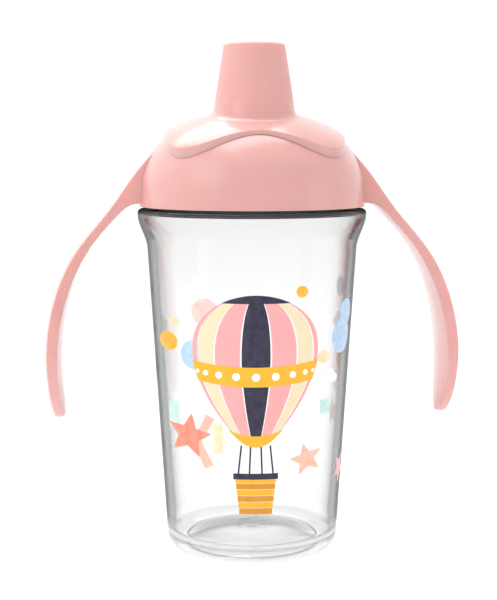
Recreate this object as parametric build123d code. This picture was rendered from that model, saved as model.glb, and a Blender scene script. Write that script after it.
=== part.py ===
from build123d import *
import os
from math import cos, pi, sin, sqrt

# Toddler training cup with a screw lid, a clip-in spout and two handles.
# Frame: millimetres, +Z up, origin at the centre of the ring the cup stands on.
# The handles lie along X and the spout is set towards -Y, the drinking side.

# Cup body
FOOT_RING_R = 22.2        # inner radius of the flat ring the cup stands on
HEEL_R = 3.0              # rounding between that ring and the wall
BASE_R = 27.8             # outer radius where the heel meets the wall
WALL_TOP_R = 34.0         # outer radius at the top of the straight taper
WALL_TOP_Z = 99.4
WALL = 1.6                # wall thickness of the cup
SHOULDER_R = 36.95        # widest part of the flare
SHOULDER_Z = 110.4        # top face of the shoulder ledge
NECK_R = 32.2             # outer radius of the neck
NECK_BORE_R = 31.0
RIM_Z = 122.0             # drinking rim, where the gasket seats
FLOOR_RISE = 3.0          # how far the floor domes up at the centre
FLOOR_Z = 3.0             # inside floor at its lowest, next to the wall
GATE_R = 5.5              # moulding mark in the middle of the floor

# Screw thread, two starts
THREAD_LEAD = 8.0
THREAD_STARTS = 2
THREAD_ROOT_W = 1.6
THREAD_CREST_W = 0.8
NECK_CREST_R = 33.5
LID_CREST_R = 32.6
NECK_THREAD_Z = 112.6
NECK_THREAD_TURNS = 0.8
LID_THREAD_TURNS = 0.55
THREAD_BITE = 0.2         # how far a ridge is rooted in its wall

# Lid
SKIRT_BOTTOM_Z = 111.2
SKIRT_BOTTOM_R = 36.4
SKIRT_BORE_R = 33.9
DOME_Z = 117.0            # level where the skirt turns into the dome
DOME_R = 36.1
DOME_RISE = 26.2
DOME_WALL = 2.1
GASKET_SEAT_Z = 123.6
GASKET_FLANGE = 1.8
FLANGE_BORE_R = 29.8
LEDGE_R = 27.0            # recess that the spout plate drops into
LEDGE_Z = 132.6
LEDGE_THICKNESS = 2.0
LID_OPENING_R = 24.5

# Spout plate (hood) and spout
HOOD_Z = 124.4
HOOD_R = 35.35
HOOD_RISE = 17.7
HOOD_WALL = 1.8
HOOD_PLAN_R = 30.6        # mean radius of the plate's four-lobed outline
HOOD_LOBE = 3.0           # how far the lobes reach out and the waists in
HOOD_LOBES = 4
HOOD_GAP = 0.15           # clearance between the plate and the lid under it
PLUG_R = 24.4             # ring that plugs into the lid opening
PLUG_WALL = 2.0
PLUG_BOTTOM_Z = 128.6
SPOUT_Y = -8.5
SPOUT_TOP_Z = 162.5
SPOUT_TOP_R = 9.6
SPOUT_TAPER = 0.157       # radius gained per millimetre downwards
SPOUT_FOOT_Z = 136.0
SPOUT_TOP_PLATE = 1.9
SPOUT_TOP_EDGE = 1.1
SPOUT_BLEND = 2.6
CHANNEL_TOP_R = 7.4
CHANNEL_FOOT_R = 10.0
DRINK_HOLE_R = 1.2
DRINK_HOLE_PCD_R = 3.6
DRINK_HOLES = 4
SOCKET_R = 11.3
SOCKET_WALL = 1.4
SOCKET_BOTTOM_Z = 130.6
SOCKET_STOP_Z = 136.0

# Silicone spout valve
VALVE_R = 11.2
VALVE_WALL = 1.5
VALVE_FLANGE_R = 12.5
VALVE_FLANGE = 1.6
VALVE_MEMBRANE = 0.7
VALVE_MEMBRANE_Z = 134.4
VALVE_TOP_Z = 135.8
SLIT_LENGTH = 9.0
SLIT_WIDTH = 0.3
TAB_DROP = 5.8
TAB_WIDTH = 8.0
TAB_THICKNESS = 2.4

# Air vent and its silicone valve
VENT_Y = 14.0
VENT_BOSS_R = 4.2
VENT_SOCKET_R = 2.9
VENT_BOTTOM_Z = 131.0
VENT_HOLE_R = 0.8
VENT_PLUG_R = 2.8
VENT_PLUG_TOP_Z = 134.6
VENT_FLANGE_R = 4.0
VENT_FLANGE = 1.1
VENT_SKIN = 0.6

# Gasket between the rim and the lid
GASKET_IN_R = 30.3
GASKET_OUT_R = 33.5
GASKET_EDGE_R = 0.45

# Handles
HANDLE_TOP_Z = 131.0
HANDLE_TIP_Z = 42.8
HANDLE_ROOT_HALF = 6.4    # half the width across Y at the lid
HANDLE_PADDLE_HALF = 11.3
HANDLE_EDGE = 1.1         # rounding of the long edges
TENON_DEPTH = 1.2         # peg that locates each handle in the skirt
TENON_WIDTH = 8.0
TENON_Z = (113.5, 119.5)


def revolved(outline):
    """Solid of revolution about Z from a closed outline drawn as (radius, z)."""
    return revolve(Plane.XZ * make_face(outline), axis=Axis.Z)


def dome(radius, rise, base_z):
    """Solid half ellipsoid standing on the plane z = base_z."""
    arc = EllipticalCenterArc((0, base_z), radius, rise, start_angle=0, arc_size=90)
    sides = Polyline(arc @ 1, (0, base_z), arc @ 0)
    return revolved(arc + sides)


def rod(radius, low_z, high_z, y=0.0, x=0.0):
    """Upright solid cylinder between two levels."""
    place = Pos(x, y, (low_z + high_z) / 2)
    return place * Cylinder(radius, high_z - low_z)


def ring(outer_r, inner_r, low_z, high_z, y=0.0):
    """Upright tube between two levels."""
    return rod(outer_r, low_z, high_z, y) - rod(inner_r, low_z - 1, high_z + 1, y)


def cone(low_r, high_r, low_z, high_z, y=0.0):
    """Upright solid cone frustum between two levels."""
    place = Pos(0, y, (low_z + high_z) / 2)
    return place * Cone(low_r, high_r, high_z - low_z)


def thread(root_r, crest_r, start_z, turns):
    """All starts of a screw thread, each one trapezium swept along a right-hand helix."""
    helix = Helix(THREAD_LEAD, THREAD_LEAD * turns, root_r, center=(0, 0, start_z))
    section_plane = Plane(origin=helix @ 0, x_dir=(1, 0, 0), z_dir=helix % 0)
    side = 1 if crest_r > root_r else -1
    height = abs(crest_r - root_r)
    outline = Polyline(
        (-side * THREAD_BITE, -THREAD_ROOT_W / 2),
        (side * height, -THREAD_CREST_W / 2),
        (side * height, THREAD_CREST_W / 2),
        (-side * THREAD_BITE, THREAD_ROOT_W / 2),
        close=True,
    )
    ridge = sweep(section_plane * make_face(outline), path=helix, is_frenet=True)
    step = 360 / THREAD_STARTS
    return [Rot(0, 0, start * step) * ridge for start in range(THREAD_STARTS)]


def cup_outside():
    """Outer outline of the cup below the neck, as (radius, z)."""
    wall_slope = (WALL_TOP_R - BASE_R) / (WALL_TOP_Z - HEEL_R)
    heel = RadiusArc((BASE_R - HEEL_R, 0), (BASE_R, HEEL_R), -HEEL_R)
    wall = Line(heel @ 1, (WALL_TOP_R, WALL_TOP_Z))
    flare = Spline(
        wall @ 1,
        (SHOULDER_R - 1.1, SHOULDER_Z - 6.4),
        (SHOULDER_R, SHOULDER_Z - 1.9),
        tangents=((wall_slope, 1), (0, 1)),
    )
    top_edge = RadiusArc(flare @ 1, (SHOULDER_R - 1.3, SHOULDER_Z), -1.6)
    close = Polyline(top_edge @ 1, (0, SHOULDER_Z), (0, 0), heel @ 0)
    return heel + wall + flare + top_edge + close


def cup_inside():
    """Outline of the hollow in the cup below the neck, as (radius, z)."""
    floor_r = FOOT_RING_R - 0.6
    corner = 4.0
    wall_r = BASE_R - WALL + 0.3
    floor = RadiusArc((0, FLOOR_Z + FLOOR_RISE), (floor_r, FLOOR_Z), 80)
    heel = RadiusArc((floor_r, FLOOR_Z), (wall_r, FLOOR_Z + corner), -corner - 0.1)
    wall = Line(heel @ 1, (WALL_TOP_R - WALL, WALL_TOP_Z))
    flare = Spline(
        wall @ 1,
        (SHOULDER_R - 1.1 - WALL, SHOULDER_Z - 6.6),
        (SHOULDER_R - WALL, SHOULDER_Z - WALL - 1.0),
    )
    ledge_z = SHOULDER_Z - WALL
    close = Polyline(
        flare @ 1, (SHOULDER_R - WALL - 0.8, ledge_z), (0, ledge_z), floor @ 0
    )
    return floor + heel + wall + flare + close


def cup_body():
    """Clear beaker with a domed floor, a flared shoulder and a threaded neck."""
    shell = revolved(cup_outside()) - revolved(cup_inside())
    sphere_r = (FOOT_RING_R**2 + FLOOR_RISE**2) / (2 * FLOOR_RISE)
    push_up = Pos(0, 0, FLOOR_RISE - sphere_r) * Sphere(sphere_r)
    shell -= push_up
    shell -= rod(NECK_BORE_R, SHOULDER_Z - 6, SHOULDER_Z + 1)
    neck = ring(NECK_R, NECK_BORE_R, SHOULDER_Z - WALL, RIM_Z)
    rim_edges = neck.edges().filter_by(GeomType.CIRCLE).group_by(Axis.Z)[-1]
    shell += fillet(rim_edges, 0.4)
    gate_z = FLOOR_Z + FLOOR_RISE
    shell += ring(GATE_R, GATE_R - 1.2, gate_z - 1.0, gate_z + 0.4)
    shell += rod(1.2, FLOOR_RISE - 0.6, FLOOR_RISE + 0.5)
    shell -= rod(2.4, gate_z - 0.4, gate_z + 2)
    for ridge in thread(NECK_R, NECK_CREST_R, NECK_THREAD_Z, NECK_THREAD_TURNS):
        shell += ridge
    return shell


def lid_outside():
    """Skirt and dome as one solid, before it is hollowed."""
    skirt = cone(SKIRT_BOTTOM_R, DOME_R, SKIRT_BOTTOM_Z, DOME_Z)
    return skirt + dome(DOME_R, DOME_RISE, DOME_Z)


def tenon(side):
    """Peg on the back of a handle, buried in the wall of the skirt."""
    low, high = TENON_Z
    reach = SKIRT_BOTTOM_R + 3.0
    depth_r = SKIRT_BOTTOM_R - TENON_DEPTH
    width = reach - depth_r
    peg = Box(width, TENON_WIDTH, high - low)
    return Pos(side * (depth_r + width / 2), 0, (low + high) / 2) * peg


def lid_shell():
    """Pink screw lid: threaded skirt, dome, gasket seat and the spout opening."""
    shell = lid_outside()
    shell -= rod(LEDGE_R, LEDGE_Z, DOME_Z + DOME_RISE + 1)
    shell -= rod(SKIRT_BORE_R, SKIRT_BOTTOM_Z - 1, GASKET_SEAT_Z)
    hollow = dome(DOME_R - DOME_WALL, DOME_RISE - DOME_WALL, DOME_Z)
    cavity_top = LEDGE_Z - LEDGE_THICKNESS
    hollow &= rod(DOME_R, GASKET_SEAT_Z + GASKET_FLANGE, cavity_top)
    shell -= hollow
    shell -= rod(FLANGE_BORE_R, GASKET_SEAT_Z - 1, cavity_top)
    shell -= rod(LID_OPENING_R, cavity_top - 1, LEDGE_Z + 1)
    for ridge in thread(
        SKIRT_BORE_R,
        LID_CREST_R,
        NECK_THREAD_Z + THREAD_LEAD / THREAD_STARTS / 2,
        LID_THREAD_TURNS,
    ):
        shell += ridge
    for side in (-1, 1):
        shell -= tenon(side)
    return shell


def lid_gasket():
    """Soft ring squeezed between the cup rim and the lid."""
    flat = ring(GASKET_OUT_R, GASKET_IN_R, RIM_Z, GASKET_SEAT_Z)
    return fillet(flat.edges().filter_by(GeomType.CIRCLE), GASKET_EDGE_R)


def handle_outer_curve():
    """Back of the handle from the dome to the tip, as (x, z)."""
    return Spline((31.0, 129.4), (36.5, 123.3), (45.9, 110.9), (57.7, 96.4), (64.6, 81.1), (67.0, 64.0), (64.4, 42.4))


def handle_inner_curve():
    """Face of the handle that the fingers hold, from the skirt to the tip."""
    return Spline((39.0, 111.8), (44.0, 107.5), (53.3, 95.2), (59.1, 81.1), (61.8, 64.0), (60.4, 42.4))


def handle_width_outline():
    """Handle seen along X: narrow at the lid, a wide rounded paddle at the tip."""
    edge = Spline(
        (HANDLE_ROOT_HALF, HANDLE_TOP_Z),
        (HANDLE_ROOT_HALF + 0.4, 110.0),
        (HANDLE_PADDLE_HALF - 1.4, 90.0),
        (HANDLE_PADDLE_HALF, 64.0),
        (HANDLE_PADDLE_HALF - 1.6, 50.0),
        (0, HANDLE_TIP_Z),
        tangents=((0, -1), (-1, 0)),
    )
    top = Line((0, HANDLE_TOP_Z), edge @ 0)
    axis_line = Line(edge @ 1, (0, HANDLE_TOP_Z))
    half = make_face(edge + top + axis_line)
    return half + mirror(half, about=Plane.YZ)


def handle(side):
    """One drooping handle; side is -1 for the left one and +1 for the right one."""
    outer = handle_outer_curve()
    inner = handle_inner_curve()
    tip = Line(outer @ 1, inner @ 1)
    root = Polyline(inner @ 0, (30.0, (inner @ 0).Y), (30.0, (outer @ 0).Y), outer @ 0)
    profile = make_face(outer + tip + inner + root)
    slab = extrude(Plane.XZ * profile, amount=HANDLE_PADDLE_HALF + 2, both=True)
    paddle = extrude(Plane.YZ * handle_width_outline(), amount=80)
    arm = slab & paddle
    long_edges = arm.edges().filter_by(lambda e: e.length > 40)
    arm = fillet(long_edges, HANDLE_EDGE)
    arm -= lid_outside()
    if side < 0:
        arm = mirror(arm, about=Plane.YZ)
    return arm + (tenon(side) & lid_outside())


def hood_outline():
    """Four-lobed outline of the spout plate, seen from above."""
    turns = HOOD_LOBES * 6
    points = []
    for step in range(turns):
        angle = 2 * pi * step / turns
        radius = HOOD_PLAN_R - HOOD_LOBE * cos(HOOD_LOBES * angle)
        points.append((radius * cos(angle), radius * sin(angle)))
    return make_face(Spline(points, periodic=True))


def spout_radius(z):
    """Outer radius of the spout at a level."""
    return SPOUT_TOP_R + (SPOUT_TOP_Z - z) * SPOUT_TAPER


def ceiling_z(y):
    """Level of the underside of the plate on the line x = 0."""
    rise = HOOD_RISE - HOOD_WALL
    return HOOD_Z + rise * sqrt(1 - (y / (HOOD_R - HOOD_WALL)) ** 2)


def hood_skin():
    """Plate with the spout standing on it, solid, with its outer blends."""
    prism = extrude(Pos(0, 0, DOME_Z) * hood_outline(), amount=DOME_RISE + 10)
    plate = dome(HOOD_R, HOOD_RISE, HOOD_Z) & prism
    seat = dome(DOME_R + HOOD_GAP, DOME_RISE + HOOD_GAP, DOME_Z)
    seat -= rod(LEDGE_R - HOOD_GAP, LEDGE_Z + HOOD_GAP, DOME_Z + DOME_RISE + 5)
    plate -= seat
    spout = cone(spout_radius(SPOUT_FOOT_Z), SPOUT_TOP_R, SPOUT_FOOT_Z, SPOUT_TOP_Z, SPOUT_Y)
    tip_edge = spout.edges().filter_by(GeomType.CIRCLE).sort_by(Axis.Z)[-1]
    spout = fillet(tip_edge, SPOUT_TOP_EDGE)
    skin = plate + spout
    near_foot = skin.edges().filter_by(
        lambda e: e.center().Z > 137 and e.center().Z < 143 and e.length > 30
    )
    return fillet(near_foot, SPOUT_BLEND)


def spout_hood():
    """Spout plate: lobed cap, spout, plug ring, valve socket and vent boss."""
    plug_in_r = PLUG_R - PLUG_WALL
    hood = hood_skin()
    under = dome(HOOD_R - HOOD_WALL, HOOD_RISE - HOOD_WALL, HOOD_Z)
    under &= rod(plug_in_r, HOOD_Z, SPOUT_TOP_Z)
    hood -= under
    hood += ring(PLUG_R, plug_in_r, PLUG_BOTTOM_Z, LEDGE_Z + 1)
    socket_top = ceiling_z(SPOUT_Y) + 0.6
    hood += rod(SOCKET_R + SOCKET_WALL, SOCKET_BOTTOM_Z, socket_top, SPOUT_Y)
    hood -= rod(SOCKET_R, SOCKET_BOTTOM_Z - 1, SOCKET_STOP_Z, SPOUT_Y)
    channel_top = SPOUT_TOP_Z - SPOUT_TOP_PLATE
    hood -= cone(CHANNEL_FOOT_R, CHANNEL_TOP_R, SOCKET_STOP_Z - 0.5, channel_top, SPOUT_Y)
    for hole in range(DRINK_HOLES):
        angle = 2 * pi * (hole + 0.5) / DRINK_HOLES
        x = DRINK_HOLE_PCD_R * cos(angle)
        y = SPOUT_Y + DRINK_HOLE_PCD_R * sin(angle)
        hood -= rod(DRINK_HOLE_R, channel_top - 1, SPOUT_TOP_Z + 1, y, x)
    hood += rod(VENT_BOSS_R, VENT_BOTTOM_Z, ceiling_z(VENT_Y) + 0.6, VENT_Y)
    hood -= rod(VENT_SOCKET_R, VENT_BOTTOM_Z - 1, VENT_PLUG_TOP_Z + 0.4, VENT_Y)
    hood -= rod(VENT_HOLE_R, VENT_BOTTOM_Z, HOOD_Z + HOOD_RISE + 1, VENT_Y)
    return hood


def spout_valve():
    """Soft cup with a cross slit that opens when a child sucks, and a pull tab."""
    flange_low = SOCKET_BOTTOM_Z - VALVE_FLANGE
    body = rod(VALVE_R, SOCKET_BOTTOM_Z - 0.1, VALVE_TOP_Z, SPOUT_Y)
    body += rod(VALVE_FLANGE_R, flange_low, SOCKET_BOTTOM_Z, SPOUT_Y)
    bore = VALVE_R - VALVE_WALL
    body -= rod(bore, flange_low - 1, VALVE_MEMBRANE_Z, SPOUT_Y)
    body -= rod(bore, VALVE_MEMBRANE_Z + VALVE_MEMBRANE, VALVE_TOP_Z + 1, SPOUT_Y)
    middle_z = VALVE_MEMBRANE_Z + VALVE_MEMBRANE / 2
    for turn in (0, 90):
        slit = Box(SLIT_LENGTH, SLIT_WIDTH, 3 * VALVE_MEMBRANE)
        body -= Pos(0, SPOUT_Y, middle_z) * Rot(0, 0, turn) * slit
    tab_y = SPOUT_Y + (VALVE_R + bore) / 2
    tab_low = flange_low - TAB_DROP
    tab = Pos(0, tab_y, (tab_low + flange_low) / 2 + 0.1) * Box(
        TAB_WIDTH, TAB_THICKNESS, TAB_DROP + 0.2
    )
    tab_corners = tab.edges().filter_by(Axis.Y).group_by(Axis.Z)[0]
    return body + fillet(tab_corners, 2.5)


def vent_valve():
    """Small soft plug whose thin end lets air in behind the drink."""
    plug = rod(VENT_PLUG_R, VENT_BOTTOM_Z - 0.1, VENT_PLUG_TOP_Z, VENT_Y)
    flange_low = VENT_BOTTOM_Z - VENT_FLANGE
    plug += rod(VENT_FLANGE_R, flange_low, VENT_BOTTOM_Z, VENT_Y)
    plug -= rod(VENT_PLUG_R / 2, flange_low + VENT_SKIN, VENT_PLUG_TOP_Z + 1, VENT_Y)
    return plug


os.makedirs("parts", exist_ok=True)
PIECES = {
    "cup_body": cup_body(),
    "lid_gasket": lid_gasket(),
    "lid_shell": lid_shell(),
    "handle_left": handle(-1),
    "handle_right": handle(1),
    "spout_hood": spout_hood(),
    "spout_valve": spout_valve(),
    "vent_valve": vent_valve(),
}
for node, piece in PIECES.items():
    export_step(piece, "parts/" + node + ".step")
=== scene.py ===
"""Builds the finished look of a toddler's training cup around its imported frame.

The beaker, the handles and the printed ink are surfaces worked out here. The
lid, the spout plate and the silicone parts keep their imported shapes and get
their finishes. Lengths in the classes are millimetres unless a name says
otherwise; the meshes are written in metres.
"""

import logging
import math
from dataclasses import dataclass, field
from enum import Enum

import bmesh
import bpy
import numpy as np
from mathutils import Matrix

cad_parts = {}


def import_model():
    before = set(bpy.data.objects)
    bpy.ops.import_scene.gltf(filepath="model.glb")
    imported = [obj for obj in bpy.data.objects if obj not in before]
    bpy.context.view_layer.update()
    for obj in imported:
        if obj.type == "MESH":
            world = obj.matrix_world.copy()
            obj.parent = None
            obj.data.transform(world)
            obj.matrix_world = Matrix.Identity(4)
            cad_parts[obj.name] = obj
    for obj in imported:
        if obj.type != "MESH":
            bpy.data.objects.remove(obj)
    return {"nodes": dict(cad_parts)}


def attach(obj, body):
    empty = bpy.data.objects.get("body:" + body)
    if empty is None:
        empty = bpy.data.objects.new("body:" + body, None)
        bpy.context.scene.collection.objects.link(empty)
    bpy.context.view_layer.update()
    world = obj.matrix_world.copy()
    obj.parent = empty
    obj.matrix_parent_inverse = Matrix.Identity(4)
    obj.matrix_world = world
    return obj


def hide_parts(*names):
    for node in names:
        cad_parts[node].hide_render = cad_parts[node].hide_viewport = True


LOG = logging.getLogger("training_cup")
MM = 0.001

NOISE_SPAN = (0.3, 0.7)

Pair = tuple[float, float]
Pairs = tuple[Pair, ...]
Triple = tuple[float, float, float]
Colour = Triple
Points = np.ndarray
Socket = bpy.types.NodeSocket
Parts = bpy.types.NodeOutputs


# ---------------- surfaces


def grid_quads(rows: int, columns: int, wrap: bool) -> np.ndarray:
    """Joins a grid of points into quads.

    Args:
        rows: Number of rows of points.
        columns: Number of points in a row.
        wrap: True if the last column joins the first.

    Returns:
        One row of four point numbers for each quad.
    """
    across = columns if wrap else columns - 1
    row, column = np.meshgrid(np.arange(rows - 1), np.arange(across), indexing="ij")
    right = (column + 1) % columns
    corners = [row * columns + column, row * columns + right]
    corners += [(row + 1) * columns + right, (row + 1) * columns + column]
    return np.stack(corners, axis=-1).reshape(-1, 4)


def closed_piece(mesh: bpy.types.Mesh, crease_deg: float, thin: bool) -> bpy.types.Object:
    """Closes the seams and poles of a mesh and puts it in the scene.

    Args:
        mesh: The mesh, which gives the object its name.
        crease_deg: Edges that turn by more than this stay sharp.
        thin: True dissolves edges and faces without a size.

    Returns:
        The new object, at the origin.
    """
    shell = bmesh.new()
    shell.from_mesh(mesh)
    bmesh.ops.remove_doubles(shell, verts=shell.verts, dist=1e-7)
    if thin:
        bmesh.ops.dissolve_degenerate(shell, edges=shell.edges, dist=1e-8)
    bmesh.ops.recalc_face_normals(shell, faces=shell.faces)
    shell.to_mesh(mesh)
    shell.free()
    mesh.shade_smooth()
    mesh.set_sharp_from_angle(angle=math.radians(crease_deg))
    piece = bpy.data.objects.new(mesh.name, mesh)
    bpy.context.scene.collection.objects.link(piece)
    return piece


def new_piece(name: str, points: Points, quads: np.ndarray, crease_deg: float) -> bpy.types.Object:
    """Makes a closed piece from points in millimetres and the point numbers of its quads."""
    mesh = bpy.data.meshes.new(name)
    mesh.from_pydata((points * MM).tolist(), [], quads.tolist())
    return closed_piece(mesh, crease_deg, thin=True)


def rounded_outline(corners: list[Triple], steps: int = 7) -> Points:
    """Rounds the inner corners of an outline with arcs.

    An arc starts one tangent length before its corner and ends one after: the
    radius times the tangent of half the turn, so it touches both straight runs.

    Args:
        corners: (radius, height, rounding) of each corner in order.
        steps: Points on each arc.

    Returns:
        The outline as rows of (radius, height).
    """
    spots = np.array([corner[:2] for corner in corners], float)
    outline = [spots[:1]]
    for index in range(1, len(corners) - 1):
        rounding = corners[index][2]
        before = spots[index - 1] - spots[index]
        after = spots[index + 1] - spots[index]
        before /= np.linalg.norm(before)
        after /= np.linalg.norm(after)
        half = math.acos(float(np.clip(before @ after, -1, 1))) / 2
        if rounding <= 0 or half > math.pi / 2 - 1e-3:
            outline.append(spots[index : index + 1])
            continue
        middle = before + after
        centre = spots[index] + middle / np.linalg.norm(middle) * rounding / math.sin(half)
        start = spots[index] + before * rounding / math.tan(half) - centre
        end = spots[index] + after * rounding / math.tan(half) - centre
        share = np.linspace(0, 1, steps)[:, None]
        sweep = math.pi - 2 * half
        arc = (np.sin((1 - share) * sweep) * start + np.sin(share * sweep) * end) / math.sin(sweep)
        outline.append(centre + arc)
    outline.append(spots[-1:])
    return np.concatenate(outline)


def turned(outline: Points, segments: int) -> Points:
    """Turns rows of (radius, height) about Z into a grid: x = r sin a, y = -r cos a."""
    angle = np.linspace(0, 2 * math.pi, segments, endpoint=False)[None, :]
    radius, height = outline[:, :1], outline[:, 1:]
    flat = np.broadcast_to(height, (len(outline), segments))
    return np.stack([radius * np.sin(angle), -radius * np.cos(angle), flat], axis=-1)


def smooth_line(knots: Pairs, samples: np.ndarray) -> Points:
    """Natural cubic spline through knots, with chord length as its parameter.

    Args:
        knots: Points the line passes through.
        samples: Places along it, from 0 to 1.

    Returns:
        One row of coordinates for each sample.
    """
    spots = np.array(knots, float)
    chords = np.linalg.norm(np.diff(spots, axis=0), axis=1)
    places = np.concatenate([[0.0], np.cumsum(chords)])
    places /= places[-1]
    gaps = np.diff(places)
    count = len(spots)
    matrix = np.eye(count)
    inner = np.arange(1, count - 1)
    matrix[inner, inner - 1] = gaps[:-1]
    matrix[inner, inner] = 2 * (gaps[:-1] + gaps[1:])
    matrix[inner, inner + 1] = gaps[1:]
    slopes = np.diff(spots, axis=0) / gaps[:, None]
    right = np.zeros_like(spots)
    right[inner] = 6 * np.diff(slopes, axis=0)
    bend = np.linalg.solve(matrix, right)
    piece = np.clip(np.searchsorted(places, samples, side="right") - 1, 0, count - 2)
    gap = gaps[piece][:, None]
    ahead = (places[piece + 1] - samples)[:, None]
    behind = (samples - places[piece])[:, None]
    curve = (bend[piece] * ahead**3 + bend[piece + 1] * behind**3) / (6 * gap)
    curve += (spots[piece] / gap - bend[piece] * gap / 6) * ahead
    curve += (spots[piece + 1] / gap - bend[piece + 1] * gap / 6) * behind
    return curve


def ease(value: Points | float) -> Points | float:
    """Smooth step: 0 below 0, 1 above 1, and 3t^2 - 2t^3 between."""
    share = np.clip(value, 0, 1)
    return share * share * (3 - 2 * share)


# ---------------- finishes


@dataclass
class NodeGraph:
    """A node tree and the short ways to build its nodes."""

    tree: bpy.types.NodeTree

    def node(self, kind: str, **settings: object) -> bpy.types.Node:
        """Adds a node of Blender's type ShaderNode + kind, with its properties set."""
        made = self.tree.nodes.new("ShaderNode" + kind)
        for key, value in settings.items():
            setattr(made, key, value)
        return made

    def join(self, source: Socket, target: Socket) -> None:
        """Links one socket to another."""
        self.tree.links.new(source, target)

    def parts(self, vector: Socket) -> Parts:
        """Splits a vector into outputs X, Y and Z."""
        made = self.node("SeparateXYZ")
        self.join(vector, made.inputs["Vector"])
        return made.outputs

    def spread(self, source: Socket, old: Pair, new: Pair) -> Socket:
        """Maps a value from an old range to a new one, clamped."""
        made = self.node("MapRange")
        self.join(source, made.inputs["Value"])
        made.inputs["From Min"].default_value, made.inputs["From Max"].default_value = old
        made.inputs["To Min"].default_value, made.inputs["To Max"].default_value = new
        return made.outputs["Result"]

    def maths(self, operation: str, first: Socket, second: Socket, clamp: bool = True) -> Socket:
        """Joins two values with a Math operation; clamp keeps the result between 0 and 1."""
        made = self.node("Math", operation=operation, use_clamp=clamp)
        self.join(first, made.inputs[0])
        self.join(second, made.inputs[1])
        return made.outputs["Value"]


class ShaderGraph(NodeGraph):
    """A material and the short ways to build its nodes."""

    def __init__(self, name: str) -> None:
        """Starts the material with one Principled shader."""
        self.material = bpy.data.materials.new(name)
        self.material.use_nodes = True
        super().__init__(self.material.node_tree)

    @property
    def shader(self) -> bpy.types.Node:
        """The Principled shader."""
        return self.tree.nodes["Principled BSDF"]

    def feed(self, source: Socket, target: str) -> None:
        """Links a socket to the Principled shader."""
        self.join(source, self.shader.inputs[target])

    def place(self) -> Socket:
        """The Object coordinates of the surface, in metres."""
        return self.node("TexCoord").outputs["Object"]

    def noise(self, scale: float, detail: float = 3.0, roughness: float = 0.5) -> Socket:
        """Noise over Object coordinates: features per metre, octaves and their strength."""
        made = self.node("TexNoise")
        self.join(self.place(), made.inputs["Vector"])
        made.inputs["Scale"].default_value = scale
        made.inputs["Detail"].default_value = detail
        made.inputs["Roughness"].default_value = roughness
        return made.outputs["Fac"]

    def mottle(self, scale: float, new: Pair) -> Socket:
        """Plain noise of a scale, stretched over a new range."""
        return self.spread(self.noise(scale), NOISE_SPAN, new)

    def paint(self, target: Socket, colour: Colour | Socket) -> None:
        """Gives a colour input a constant or a link."""
        if isinstance(colour, tuple):
            target.default_value = (*colour, 1.0)
        else:
            self.join(colour, target)

    def blend(self, share: Socket, low: Colour | Socket, high: Colour | Socket) -> Socket:
        """Mixes two colours: share 0 gives low, and 1 gives high."""
        made = self.node("Mix", data_type="RGBA")
        self.join(share, made.inputs["Factor"])
        self.paint(made.inputs["A"], low)
        self.paint(made.inputs["B"], high)
        return made.outputs["Result"]

    def ramp(self, share: Socket, steps: Pairs) -> Socket:
        """Turns a share into a grey through stops of (share, grey)."""
        made = self.node("ValToRGB")
        self.join(share, made.inputs["Fac"])
        stops = made.color_ramp.elements
        for number, (position, grey) in enumerate((steps[0], steps[-1])):
            stops[number].position = position
            stops[number].color = (grey, grey, grey, 1.0)
        for position, grey in steps[1:-1]:
            stops.new(position).color = (grey, grey, grey, 1.0)
        return made.outputs["Color"]

    def see_through(self, colour: Colour | Socket) -> Socket:
        """Adds a Transparent shader of a colour."""
        made = self.node("BsdfTransparent")
        self.paint(made.inputs["Color"], colour)
        return made.outputs["BSDF"]

    def mix_shaders(self, share: Socket, first: Socket, second: Socket) -> Socket:
        """Mixes two shaders: 0 gives the first, 1 gives the second."""
        made = self.node("MixShader")
        for number, source in enumerate((share, first, second)):
            self.join(source, made.inputs[number])
        return made.outputs["Shader"]

    def bump(self, height: Socket, depth_mm: float, strength: float) -> None:
        """Raises the surface by a share of a height pattern, whose 1 means depth_mm."""
        made = self.node("Bump")
        made.inputs["Strength"].default_value = strength
        made.inputs["Distance"].default_value = depth_mm * MM
        self.join(height, made.inputs["Height"])
        self.feed(made.outputs["Normal"], "Normal")

    def fix(self, **sockets: float | Colour) -> None:
        """Sets constants on the Principled shader; underscores stand for spaces."""
        for key, value in sockets.items():
            socket = self.shader.inputs[key.replace("_", " ")]
            is_colour = isinstance(value, tuple) and socket.type == "RGBA"
            socket.default_value = (*value, 1.0) if is_colour else value


def shade(colour: Colour, factor: float) -> Colour:
    """The colour made darker or lighter by a factor."""
    return tuple(min(1.0, part * factor) for part in colour)


def towards(colour: Colour, other: Colour, share: float) -> Colour:
    """The colour moved a share of the way to another."""
    return tuple(a + (b - a) * share for a, b in zip(colour, other))


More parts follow.
